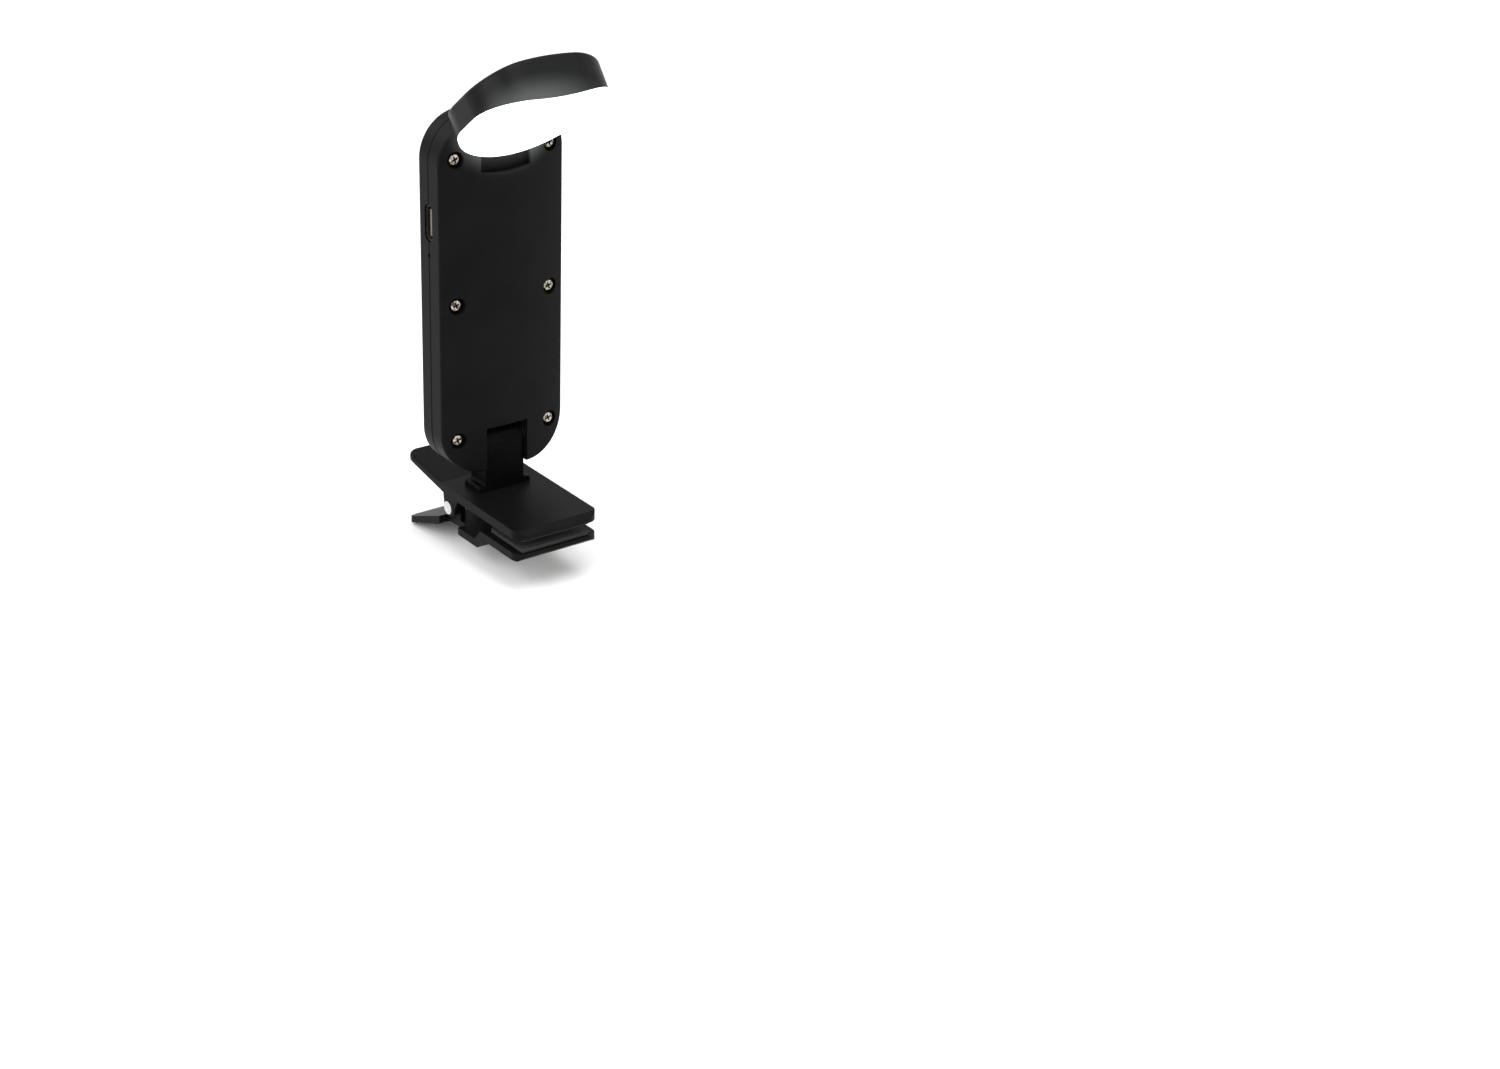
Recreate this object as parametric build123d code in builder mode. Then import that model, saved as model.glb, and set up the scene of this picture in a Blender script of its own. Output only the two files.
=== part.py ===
from build123d import *
import os
from math import cos, pi, radians, sin, sqrt, tan

os.makedirs("parts", exist_ok=True)

# A clip-on book light. The origin is the middle of the clip's upper gripping face, on the paper.
# X is to the right, Y to the back and Z up. All sizes are in millimetres.

# Light body: two moulded covers that meet at a seam round the side.
body_wide = 35.0
body_tall = 91.0
body_corner = 11.1
body_front = 17.0
face_rise = 2.5
front_deep = 4.6
rear_deep = 4.6
wall = 1.6
rear_wall = 1.5
face_round = 0.6
back_round = 0.9
seam_groove = 0.25
seam = body_front + front_deep
body_back = seam + rear_deep

# Cover screws, three rows of two.
screw_x = 13.25
screw_rows = (36.0, -0.6, -36.0)
screw_head_r = 1.45
screw_head_tall = 0.95
screw_shank_r = 0.95
sink_r = 2.1
sink_floor = 0.45
column_r = 2.5

# Fold hinge at the foot of the body.
fold_y = body_front + 2.4
fold_z = 16.0
fold_above_foot = 6.5
foot_wide = 11.85
foot_tall = 11.5
arm_wide = 11.2
arm_deep = 6.75
knuckle_r = arm_deep / 2
foot_back = fold_y + knuckle_r + 0.2
fold_pin_r = 1.0
fold_pin_half = 10.0
foot_block_half = 10.2

body_low = fold_z - fold_above_foot
body_mid = body_low + body_tall / 2
body_top = body_low + body_tall

# Tilt hinge at the top of the body, and the pocket that clears the end of the head.
tilt_y = seam
tilt_z = body_top - 6.8
tilt_pin_r = 1.2
tilt_pin_bore = 0.7
tilt_pin_half = 9.4
lug_r = 2.3
lug_wide = 13.3
pocket_wide = 13.9
pocket_floor = -0.8
pocket_low = body_mid + 31.45
pocket_sag = 0.75
slot_gap = 0.35
top_block_half = 9.4
running = 0.05
snug = 0.01

# Head: a round-ended slab, crowned on both faces like the body and tilted above the level.
tilt = 38.9
head_wide = 35.8
head_long = 31.3
head_round = 14.1
head_corner = 11.0
head_wall = 1.4
crown_r = 74.0
crown_tip = 11.8
crown_round = 1.0
lens_rise = 2.0
lens_thick = 1.2
lens_round = 0.3
pin_to_end = 3.37
pin_to_lens = 6.95
scoop_gap = 0.2
lens_relief_r = 7.4

# Clip: the upper jaw carries the arm, the lower jaw turns on a pin below it. It stands open on
# a stack of pages as thick as pad_gap, where the two pads are parallel.
jaw_wide = 24.0
jaw_front = -8.5
jaw_bend = 27.0
jaw_thick = 2.4
pad_long = 15.0
pad_wide = 20.0
pad_thick = 1.2
pad_sunk = 0.4
pad_gap = 2.1
tab_long = 17.0
upper_tab_angle = 10.0
lower_tab_angle = 22.0
lower_thick = 2.0
throat_floor = -6.1
pivot_y = 24.0
pivot_z = -2.65
pivot_pin_r = 1.0
upper_under = pad_thick - pad_sunk
upper_top = upper_under + jaw_thick
wire = 0.8
coil_r = 2.8
coil_pitch = 1.35
coil_turns = 4
leg_long = 11.0

# Charging socket, light and switch.
usb_z = body_mid + 19.6
usb_long = 9.4
usb_thick = 3.6
light_z = body_mid + 11.4
light_r = 0.5
button_z = body_mid + 20.0
button_r = 4.5
button_gap = 0.2
button_proud = 0.45
button_travel = 0.3

along = Vector(0, -cos(radians(tilt)), sin(radians(tilt)))
behind = Vector(0, sin(radians(tilt)), cos(radians(tilt)))
tilt_axis = Vector(0, tilt_y, tilt_z)
head_end = tilt_axis + along * pin_to_end - behind * pin_to_lens


def body_plane(y):
    """Upright plane at depth y, seen from the front, with its zero at the middle screws."""
    return Plane(origin=(0, y, body_mid), x_dir=(1, 0, 0), z_dir=(0, -1, 0))


def side_plane(x):
    """Plane seen from the right, whose own axes are Y and Z."""
    return Plane.YZ.offset(x)


def head_plane(height):
    """Plane parallel to the lens, this far behind it; its second axis runs to the tip."""
    return Plane(origin=head_end + behind * height, x_dir=(-1, 0, 0), z_dir=tuple(behind))


def head_side():
    """Plane through the middle of the head: along the lens, and away from it."""
    return Plane(origin=tuple(head_end), x_dir=tuple(along), z_dir=(-1, 0, 0))


def rod(y, z, radius, x_low, x_high):
    """Round bar along X."""
    with BuildPart() as bar:
        with BuildSketch(side_plane(x_low)):
            with Locations((y, z)):
                Circle(radius)
        extrude(amount=x_high - x_low)
    return bar.part


def block(x_low, x_high, y_low, y_high, z_low, z_high):
    """Square block between two corners."""
    with BuildPart() as piece:
        with BuildSketch(Plane.XY.offset(z_low)):
            with Locations(((x_low + x_high) / 2, (y_low + y_high) / 2)):
                Rectangle(x_high - x_low, y_high - y_low)
        extrude(amount=z_high - z_low)
    return piece.part


def side_openings():
    """Charging slot and light hole in the left side, on the seam."""
    with BuildPart() as cut:
        with BuildSketch(side_plane(-body_wide / 2 - 1)):
            with Locations((seam, usb_z)):
                SlotOverall(usb_long, usb_thick, rotation=90)
            with Locations((seam, light_z)):
                Circle(light_r + 0.03)
        extrude(amount=1 + wall + 0.6)
    return cut.part


def pin_seats():
    """The seats of both hinge pins; the lower pin is laid in through a slot from the seam."""
    with BuildPart() as seats:
        add(rod(fold_y, fold_z, fold_pin_r + snug, -fold_pin_half, fold_pin_half))
        add(block(-fold_pin_half, fold_pin_half, fold_y, seam + 0.01, fold_z - fold_pin_r - snug,
                  fold_z + fold_pin_r + snug))
        add(rod(tilt_y, tilt_z, tilt_pin_r + snug, -tilt_pin_half, tilt_pin_half))
    return seats.part


slot_low = tilt_z - lug_r - slot_gap
slot_back = tilt_y + lug_r + slot_gap
foot_roof = body_low + foot_tall
face_r = ((body_wide / 2) ** 2 + face_rise ** 2) / (2 * face_rise)
screw_places = [(side * screw_x, row) for row in screw_rows for side in (-1, 1)]


def front_form(inset):
    """The front half of the body, drawn in by inset: its plan, under the crown across its face."""
    with BuildPart() as form:
        with BuildSketch(body_plane(seam)):
            RectangleRounded(body_wide - 2 * inset, body_tall - 2 * inset, body_corner - inset)
        extrude(amount=front_deep + face_rise + 1)
        with BuildSketch(Plane.XY.offset(body_low - 1)):
            with Locations((0, body_front - face_rise + face_r)):
                Circle(face_r - inset)
        extrude(amount=body_tall + 2, mode=Mode.INTERSECT)
    return form.part

# Front cover: crowned across its face, with the pocket at its top and the recess at its foot
with BuildPart() as front_cover:
    add(front_form(0))
    fillet(front_cover.faces().sort_by(Axis.Y)[0].edges(), face_round)
    chamfer(front_cover.faces().sort_by(Axis.Y)[-1].edges(), seam_groove)
    add(front_form(wall), mode=Mode.SUBTRACT)
    with BuildSketch(body_plane(seam)):
        with Locations(*screw_places):
            Circle(column_r)
    extrude(amount=front_deep + 0.2)
    add(block(-foot_block_half, foot_block_half, body_front - 1.2, seam, body_low + 1, foot_roof + wall))
    add(block(-top_block_half, top_block_half, body_front - 1.4, seam, slot_low - wall, body_top - 1))
    add(block(-pocket_wide / 2 - wall, pocket_wide / 2 + wall, body_front - 1.4,
              body_front + pocket_floor + wall, pocket_low - wall, slot_low))
    add(block(-foot_wide / 2, foot_wide / 2, body_front - 4, seam + 1, body_low - 1, foot_roof),
        mode=Mode.SUBTRACT)
    add(block(-pocket_wide / 2, pocket_wide / 2, body_front - 4, seam + 1, slot_low, body_top + 1),
        mode=Mode.SUBTRACT)
    with BuildSketch(Plane.XZ.offset(-(body_front - 4))):
        with BuildLine():
            ThreePointArc((-pocket_wide / 2, pocket_low + pocket_sag), (0, pocket_low),
                          (pocket_wide / 2, pocket_low + pocket_sag))
            Polyline((pocket_wide / 2, pocket_low + pocket_sag), (pocket_wide / 2, body_top + 1),
                     (-pocket_wide / 2, body_top + 1), (-pocket_wide / 2, pocket_low + pocket_sag))
        make_face()
    extrude(amount=-(4 + pocket_floor), mode=Mode.SUBTRACT)
    with BuildSketch(body_plane(body_front + sink_floor)):
        with Locations(*screw_places):
            Circle(sink_r)
    extrude(amount=5, mode=Mode.SUBTRACT)
    with BuildSketch(body_plane(seam)):
        with Locations(*screw_places):
            Circle(screw_shank_r + 0.15)
    extrude(amount=8, mode=Mode.SUBTRACT)
    add(side_openings(), mode=Mode.SUBTRACT)
    add(pin_seats(), mode=Mode.SUBTRACT)
front_cover.part.label = "front_cover"
export_step(front_cover.part, "parts/front_cover.step")

# Rear cover
with BuildPart() as rear_cover:
    with BuildSketch(body_plane(seam)):
        RectangleRounded(body_wide, body_tall, body_corner)
    extrude(amount=-rear_deep)
    fillet(rear_cover.faces().sort_by(Axis.Y)[-1].edges(), back_round)
    chamfer(rear_cover.faces().sort_by(Axis.Y)[0].edges(), seam_groove)
    with BuildSketch(body_plane(seam)):
        RectangleRounded(body_wide - 2 * wall, body_tall - 2 * wall, body_corner - wall)
    extrude(amount=-(rear_deep - rear_wall), mode=Mode.SUBTRACT)
    with BuildSketch(body_plane(seam)):
        with Locations(*screw_places):
            Circle(column_r)
    extrude(amount=-(rear_deep - rear_wall))
    add(block(-foot_block_half, foot_block_half, seam, body_back - 1, body_low + 1, foot_roof + wall))
    add(block(-top_block_half, top_block_half, seam, body_back - 1, slot_low - wall, body_top - 1))
    add(block(-foot_wide / 2, foot_wide / 2, seam - 1, foot_back, body_low - 1, foot_roof),
        mode=Mode.SUBTRACT)
    add(block(-pocket_wide / 2, pocket_wide / 2, seam - 1, slot_back, slot_low, body_top + 1),
        mode=Mode.SUBTRACT)
    with BuildSketch(body_plane(seam)):
        with Locations(*screw_places):
            Circle(screw_shank_r + snug)
    extrude(amount=-(rear_deep - 1.0), mode=Mode.SUBTRACT)
    with BuildSketch(Plane.XZ.offset(-seam)):
        with Locations((0, button_z)):
            Circle(button_r + button_gap)
    extrude(amount=-(rear_deep + 1), mode=Mode.SUBTRACT)
    add(side_openings(), mode=Mode.SUBTRACT)
    add(pin_seats(), mode=Mode.SUBTRACT)
    for x_low, x_high in ((-fold_pin_half + 0.2, -foot_wide / 2 - 0.3),
                          (foot_wide / 2 + 0.3, fold_pin_half - 0.2)):
        add(block(x_low, x_high, fold_y + fold_pin_r + snug, seam + 0.5, fold_z - 0.95, fold_z + 0.95))
rear_cover.part.label = "rear_cover"
export_step(rear_cover.part, "parts/rear_cover.step")

# Six pan-head screws with crossed slots, their heads at the bottom of the sinks
screw_seat = body_front + sink_floor
slot_wide = 0.45
slot_long = 1.75
with BuildPart() as cover_screws:
    with BuildSketch(body_plane(screw_seat)):
        with Locations(*screw_places):
            Circle(screw_head_r)
    extrude(amount=screw_head_tall)
    fillet(cover_screws.faces().filter_by(Axis.Y).group_by(Axis.Y)[0].edges(), 0.4)
    with BuildSketch(body_plane(screw_seat)):
        with Locations(*screw_places):
            Circle(screw_shank_r)
    extrude(amount=-(front_deep - sink_floor + rear_deep - 1.4))
    with BuildSketch(body_plane(screw_seat - screw_head_tall)):
        with Locations(*screw_places):
            Rectangle(slot_long, slot_wide, rotation=20)
            Rectangle(slot_wide, slot_long, rotation=20)
    extrude(amount=-0.55, mode=Mode.SUBTRACT)
cover_screws.part.label = "cover_screws"
export_step(cover_screws.part, "parts/cover_screws.step")

# Pouch cell and the foam tape that holds it to the rear cover
cell_wide, cell_tall, cell_thick = 26.0, 28.0, 5.5
cell_low = body_mid - 31.6
cell_front = body_front + 1.0
cell_back = cell_front + cell_thick
with BuildPart() as battery_cell:
    with BuildSketch(Plane.XZ.offset(-cell_front)):
        with Locations((0, cell_low + cell_tall / 2)):
            Rectangle(cell_wide, cell_tall)
    extrude(amount=-cell_thick)
    fillet(battery_cell.edges().filter_by(Axis.Z), 1.2)
battery_cell.part.label = "battery_cell"
export_step(battery_cell.part, "parts/battery_cell.step")

with BuildPart() as battery_pad:
    with BuildSketch(Plane.XZ.offset(-cell_back)):
        with Locations((0, cell_low + cell_tall / 2)):
            Rectangle(cell_wide - 6, cell_tall - 8)
    extrude(amount=-(body_back - rear_wall - cell_back))
battery_pad.part.label = "battery_pad"
export_step(battery_pad.part, "parts/battery_pad.step")

# Board in the plane of the seam, cut out round the charging socket
board_thick = 0.8
board_front = seam - board_thick / 2
board_back = seam + board_thick / 2
board_low = body_mid + 4.4
board_tall = 24.8
socket_wide, socket_thick, socket_long = 8.94, 3.16, 7.3
socket_mouth = -body_wide / 2 + 0.4
socket_wall = 0.25
pipe_start = 0.5
pipe_end = 3.1
with BuildPart() as main_board:
    with BuildSketch(Plane.XZ.offset(-board_front)):
        with Locations((0, board_low + board_tall / 2)):
            RectangleRounded(body_wide - 2 * wall - 0.8, board_tall, 1.0)
        with Locations((socket_mouth + socket_long / 2 - 1, usb_z)):
            Rectangle(socket_long + 2.4, socket_wide + 4 * snug, mode=Mode.SUBTRACT)
        with Locations((-body_wide / 2 + 1.5, light_z)):
            Rectangle(2 * (pipe_end - 1.45), 2 * light_r + 0.2, mode=Mode.SUBTRACT)
    extrude(amount=-board_thick)
main_board.part.label = "main_board"
export_step(main_board.part, "parts/main_board.step")

# Charger, driver and their small parts, soldered to the front of the board
chip_places = [(4.0, 11.0, 5.0, 4.0), (-2.5, 5.0, 3.0, 3.0), (10.5, 5.0, 2.0, 3.2), (10.5, 19.0, 3.2, 2.6),
               (4.0, 19.5, 2.0, 1.2), (-7.5, 5.0, 2.0, 1.2), (0.0, 16.5, 1.6, 2.4)]
with BuildPart() as board_chips:
    with BuildSketch(Plane.XZ.offset(-board_front)):
        for x, up, wide, tall in chip_places:
            with Locations((x, board_low + up)):
                Rectangle(wide, tall)
    extrude(amount=1.0)
    chamfer(board_chips.faces().filter_by(Axis.Y).group_by(Axis.Y)[0].edges(), 0.15)
board_chips.part.label = "board_chips"
export_step(board_chips.part, "parts/board_chips.step")

# Charging socket: a rolled metal shell with its tongue inside
with BuildPart() as usb_socket:
    with BuildSketch(side_plane(socket_mouth)):
        with Locations((seam, usb_z)):
            SlotOverall(socket_wide, socket_thick, rotation=90)
            SlotOverall(socket_wide - 2 * socket_wall, socket_thick - 2 * socket_wall, rotation=90,
                        mode=Mode.SUBTRACT)
    extrude(amount=socket_long)
usb_socket.part.label = "usb_socket"
export_step(usb_socket.part, "parts/usb_socket.step")

tongue_root = 2.2
tongue_back = 0.3
with BuildPart() as usb_tongue:
    with BuildSketch(side_plane(socket_mouth + socket_long - tongue_root)):
        with Locations((seam, usb_z)):
            SlotOverall(socket_wide - 2 * socket_wall - 0.02, socket_thick - 2 * socket_wall - 0.02,
                        rotation=90)
    extrude(amount=tongue_root)
    with BuildSketch(side_plane(socket_mouth + tongue_back)):
        with Locations((seam, usb_z)):
            Rectangle(0.7, 6.6)
    extrude(amount=socket_long - tongue_root - tongue_back)
usb_tongue.part.label = "usb_tongue"
export_step(usb_tongue.part, "parts/usb_tongue.step")

# Charge light: the chip on the board and the clear pin that shows it at the side
with BuildPart() as charge_light_pipe:
    with BuildSketch(side_plane(-body_wide / 2 + pipe_start)):
        with Locations((seam, light_z)):
            Circle(light_r)
    extrude(amount=pipe_end - pipe_start)
charge_light_pipe.part.label = "charge_light_pipe"
export_step(charge_light_pipe.part, "parts/charge_light_pipe.step")

led_x = -body_wide / 2 + pipe_end
with BuildPart() as charge_led:
    with BuildSketch(Plane.XZ.offset(-board_front)):
        with Locations((led_x + 0.9, light_z)):
            Rectangle(1.6, 1.2)
    extrude(amount=0.7)
charge_led.part.label = "charge_led"
export_step(charge_led.part, "parts/charge_led.step")

# Push switch on the back of the board, its plunger, and the button over it
switch_tall = 1.2
plunger_r = 0.8
plunger_in = 0.5
flange_thick = 0.6
wall_inside = body_back - rear_wall
plunger_top = wall_inside - flange_thick - 0.05
switch_top = board_back + switch_tall
with BuildPart() as tact_switch:
    with BuildSketch(Plane.XZ.offset(-board_back)):
        with Locations((0, button_z)):
            RectangleRounded(4.5, 4.5, 0.5)
    extrude(amount=-switch_tall)
    with BuildSketch(Plane.XZ.offset(-switch_top)):
        with Locations((0, button_z)):
            Circle(plunger_r + running)
    extrude(amount=plunger_in + button_travel + 0.1, mode=Mode.SUBTRACT)
tact_switch.part.label = "tact_switch"
export_step(tact_switch.part, "parts/tact_switch.step")

with BuildPart() as switch_plunger:
    with BuildSketch(Plane.XZ.offset(-(switch_top - plunger_in))):
        with Locations((0, button_z)):
            Circle(plunger_r)
    extrude(amount=-(plunger_top - switch_top + plunger_in))
switch_plunger.part.label = "switch_plunger"
export_step(switch_plunger.part, "parts/switch_plunger.step")

with BuildPart() as power_button:
    with BuildSketch(Plane.XZ.offset(-plunger_top)):
        with Locations((0, button_z)):
            Circle(button_r + 0.9)
    extrude(amount=-flange_thick)
    with BuildSketch(Plane.XZ.offset(-(plunger_top + flange_thick))):
        with Locations((0, button_z)):
            Circle(button_r)
    extrude(amount=-(body_back + button_proud - plunger_top - flange_thick))
    fillet(power_button.faces().sort_by(Axis.Y)[-1].edges(), 0.35)
power_button.part.label = "power_button"
export_step(power_button.part, "parts/power_button.step")


def wire_pair(points, bend, gap, radius, shift):
    """Two insulated wires side by side along one route."""
    with BuildPart() as pair:
        for side in (-1, 1):
            moved = [(x + side * gap * shift[0], y + side * gap * shift[1], z + side * gap * shift[2])
                     for x, y, z in points]
            with BuildLine() as route:
                FilletPolyline(*moved, radius=bend)
            with BuildSketch(Plane(origin=route.line @ 0, z_dir=route.line % 0)):
                Circle(radius)
            sweep(path=route.line)
    return pair.part


lead_r = 0.4
lead_y = body_front + 1.6
with BuildPart() as battery_leads:
    add(wire_pair([(2, cell_front + 1.2, cell_low + cell_tall), (2, cell_front + 1.2, board_low - 1.6),
                   (2, lead_y, board_low + 1.0), (2, board_front - 0.5, board_low + 1.0)],
                  0.5, 0.55, lead_r, (1, 0, 0)))
battery_leads.part.label = "battery_leads"
export_step(battery_leads.part, "parts/battery_leads.step")

# Tilt pin: a tube that the lamp's wires come in through from both ends. Its middle is cut away
# to the front and the top, where they leave it for the head.
with BuildPart() as head_hinge_pin:
    add(rod(tilt_y, tilt_z, tilt_pin_r, -tilt_pin_half, tilt_pin_half))
    add(rod(tilt_y, tilt_z, tilt_pin_bore, -tilt_pin_half, tilt_pin_half), mode=Mode.SUBTRACT)
    add(block(-1.0, 1.0, tilt_y - 2, tilt_y + 0.4, tilt_z - 0.4, tilt_z + 2), mode=Mode.SUBTRACT)
head_hinge_pin.part.label = "head_hinge_pin"
export_step(head_hinge_pin.part, "parts/head_hinge_pin.step")


def washers(y, z, inner, outer, x_in, x_out):
    """A pair of thin washers, one at each side."""
    with BuildPart() as pair:
        for low, high in ((-x_out, -x_in), (x_in, x_out)):
            add(rod(y, z, outer, low, high))
            add(rod(y, z, inner, low, high), mode=Mode.SUBTRACT)
    return pair.part


with BuildPart() as head_hinge_washers:
    add(washers(tilt_y, tilt_z, tilt_pin_r + running, lug_r - 0.1, lug_wide / 2 + 0.03,
                pocket_wide / 2 - 0.02))
head_hinge_washers.part.label = "head_hinge_washers"
export_step(head_hinge_washers.part, "parts/head_hinge_washers.step")

with BuildPart() as arm_hinge_pin:
    add(rod(fold_y, fold_z, fold_pin_r, -fold_pin_half, fold_pin_half))
arm_hinge_pin.part.label = "arm_hinge_pin"
export_step(arm_hinge_pin.part, "parts/arm_hinge_pin.step")

with BuildPart() as arm_hinge_washers:
    add(washers(fold_y, fold_z, fold_pin_r + running, knuckle_r - 0.4, arm_wide / 2 + 0.03,
                foot_wide / 2 - 0.02))
arm_hinge_washers.part.label = "arm_hinge_washers"
export_step(arm_hinge_washers.part, "parts/arm_hinge_washers.step")


def drum(radius, centre_height):
    """Long round bar that runs from the hinge to the tip, its axis at this height over the lens."""
    with BuildPart() as bar:
        with BuildSketch(Plane(origin=tuple(head_end + behind * centre_height), x_dir=(1, 0, 0),
                               z_dir=tuple(along))):
            Circle(radius)
        extrude(amount=2 * head_long, both=True)
    return bar.part


def head_form(inset, low, high):
    """The head's round-ended plan between two heights, drawn in by inset, under its crown."""
    side = head_wide / 2 - inset
    tip = head_long - inset
    with BuildPart() as form:
        with BuildSketch(head_plane(low)):
            with BuildLine():
                EllipticalCenterArc((0, head_round), side, head_round - inset, start_angle=180, arc_size=180)
                FilletPolyline((side, head_round), (side, tip), (-side, tip), (-side, head_round),
                               radius=head_corner - inset)
            make_face()
        extrude(amount=high - low)
        add(drum(crown_r - inset, crown_tip - crown_r), mode=Mode.INTERSECT)
    return form.part


lens_r = ((head_wide / 2) ** 2 + lens_rise ** 2) / (2 * lens_rise)


def behind_lens(depth):
    """All that lies further than this behind the crowned face of the lens."""
    return drum(lens_r - depth, lens_r)


corner_reach = sqrt((tilt_y - body_front + 2.1) ** 2 + (body_top - tilt_z) ** 2)
scoop_r = corner_reach + scoop_gap
lug_low = pin_to_lens - lug_r
lug_high = pin_to_lens + lug_r
neck_gap = 0.1


def scoop(radius):
    """Round clearance about the tilt pin, where the top of the body passes."""
    return rod(tilt_y, tilt_z, radius, -head_wide, head_wide)


def neck_block(half, u_low, u_high, low, high):
    """Square block across the middle of the head, between two distances from its round end."""
    with BuildPart() as piece:
        with BuildSketch(head_side()):
            with Locations(((u_low + u_high) / 2, (low + high) / 2)):
                Rectangle(u_high - u_low, high - low)
        extrude(amount=half, both=True)
    return piece.part


# Head shell: deep walls and a crowned back, scooped out round the top of the body
tray_start = scoop_r + head_wall - pin_to_end + 0.4
with BuildPart() as head_shell:
    add(head_form(0, 0, 20))
    fillet(head_shell.faces().sort_by(Axis((0, 0, 0), tuple(behind)))[-1].edges(), crown_round)
    add(behind_lens(lens_thick), mode=Mode.INTERSECT)
    add(scoop(scoop_r), mode=Mode.SUBTRACT)
    with BuildPart(mode=Mode.SUBTRACT):
        add(head_form(head_wall, -1, 20))
        add(scoop(scoop_r + head_wall), mode=Mode.SUBTRACT)
    add(neck_block(lug_wide / 2 + neck_gap, -3, tray_start + 1.2, 0, lug_high + neck_gap),
        mode=Mode.SUBTRACT)
head_shell.part.label = "head_shell"
export_step(head_shell.part, "parts/head_shell.step")

# Lens: a glowing plate as wide as the shell, with a rim that snaps inside it
lens_rim_in = head_wall + 0.15
lens_rim_wide = 1.0
lens_rim_tall = 1.0
with BuildPart() as diffuser:
    add(head_form(0, -1, 6))
    add(behind_lens(0), mode=Mode.INTERSECT)
    add(behind_lens(lens_thick), mode=Mode.SUBTRACT)
    fillet(diffuser.faces().sort_by(Axis((0, 0, 0), tuple(behind)))[0].edges(), lens_round)
    add(scoop(lens_relief_r), mode=Mode.SUBTRACT)
    with BuildPart():
        add(head_form(lens_rim_in, 0, 8))
        add(behind_lens(lens_thick - 0.3), mode=Mode.INTERSECT)
        add(behind_lens(lens_thick + lens_rim_tall), mode=Mode.SUBTRACT)
        add(head_form(lens_rim_in + lens_rim_wide, -1, 9), mode=Mode.SUBTRACT)
        add(scoop(scoop_r + head_wall + 0.15), mode=Mode.SUBTRACT)
diffuser.part.label = "diffuser"
export_step(diffuser.part, "parts/diffuser.step")

# White ring that stands the led board off the lens
board_in = lens_rim_in + 1.6
led_board_low = lens_thick + 3.2
led_board_thick = 0.8
board_scoop = scoop_r + head_wall + 0.8
with BuildPart() as light_guide_frame:
    add(head_form(board_in - 0.5, 0, led_board_low))
    add(behind_lens(lens_thick + lens_rim_tall + 0.05), mode=Mode.INTERSECT)
    add(head_form(board_in + 0.9, -1, led_board_low + 1), mode=Mode.SUBTRACT)
    add(scoop(board_scoop), mode=Mode.SUBTRACT)
light_guide_frame.part.label = "light_guide_frame"
export_step(light_guide_frame.part, "parts/light_guide_frame.step")

with BuildPart() as led_board:
    add(head_form(board_in, led_board_low, led_board_low + led_board_thick))
    add(scoop(board_scoop), mode=Mode.SUBTRACT)
led_board.part.label = "led_board"
export_step(led_board.part, "parts/led_board.step")

with BuildPart() as led_chips:
    with BuildSketch(head_plane(led_board_low)):
        with Locations((0, 18.0)):
            with GridLocations(5.8, 6.5, 4, 3):
                Rectangle(3.5, 2.8)
    extrude(amount=-0.8)
led_chips.part.label = "led_chips"
export_step(led_chips.part, "parts/led_chips.step")

# Head frame: the tray behind the led board, and the neck and lug that the pin goes through
tray_low = led_board_low + led_board_thick
tray_high = tray_low + 1.0
lead_exit = 9.6
with BuildPart() as head_frame:
    add(head_form(0.3, 0, lug_high))
    add(behind_lens(lens_thick + 0.05), mode=Mode.INTERSECT)
    add(neck_block(lug_wide / 2, 0.6, 4.0, 0, lug_high + 1), mode=Mode.INTERSECT)
    add(neck_block(lug_wide / 2, -pin_to_end, 3.0, lug_low, lug_high))
    add(rod(tilt_y, tilt_z, lug_r, -lug_wide / 2, lug_wide / 2))
    with BuildPart():
        add(head_form(board_in + 0.4, tray_low, tray_high))
        add(neck_block(head_wide, -3, tray_start, 0, 20), mode=Mode.SUBTRACT)
    add(neck_block(lug_wide / 2, 2.0, tray_start + 0.8, tray_low, tray_high))
    add(rod(tilt_y, tilt_z, tilt_pin_r + running, -lug_wide, lug_wide), mode=Mode.SUBTRACT)
    add(neck_block(0.85, -pin_to_end, 6.0, pin_to_lens - 0.4, pin_to_lens + 0.4), mode=Mode.SUBTRACT)
    add(neck_block(0.85, lead_exit - 0.5, lead_exit + 0.5, 0, 12), mode=Mode.SUBTRACT)
head_frame.part.label = "head_frame"
export_step(head_frame.part, "parts/head_frame.step")

# The lamp's wires: one up each side of the body and into the pin, then two out of it to the head
with BuildPart() as body_leads:
    for side in (-1, 1):
        with BuildLine() as route:
            FilletPolyline((side * 10.2, board_back + 0.4, board_low + board_tall - 2.0),
                           (side * 10.2, board_back + 0.4, board_low + board_tall + 1.0),
                           (side * 10.2, tilt_y, board_low + board_tall + 3.0),
                           (side * 10.2, tilt_y, tilt_z), (side * 0.8, tilt_y, tilt_z), radius=0.5)
        with BuildSketch(Plane(origin=route.line @ 0, z_dir=route.line % 0)):
            Circle(0.34)
        sweep(path=route.line)
body_leads.part.label = "body_leads"
export_step(body_leads.part, "parts/body_leads.step")


def head_point(x, u, high):
    """Point in the head: x, distance from its round end, height above the lens face."""
    return tuple(head_end + Vector(x, 0, 0) + along * u + behind * high)


with BuildPart() as head_leads:
    for side in (-1, 1):
        with BuildLine() as route:
            FilletPolyline(head_point(side * 0.36, -pin_to_end, pin_to_lens),
                           head_point(side * 0.36, lead_exit, pin_to_lens),
                           head_point(side * 0.36, lead_exit, led_board_low + led_board_thick),
                           radius=0.5)
        with BuildSketch(Plane(origin=route.line @ 0, z_dir=route.line % 0)):
            Circle(0.3)
        sweep(path=route.line)
head_leads.part.label = "head_leads"
export_step(head_leads.part, "parts/head_leads.step")

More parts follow.
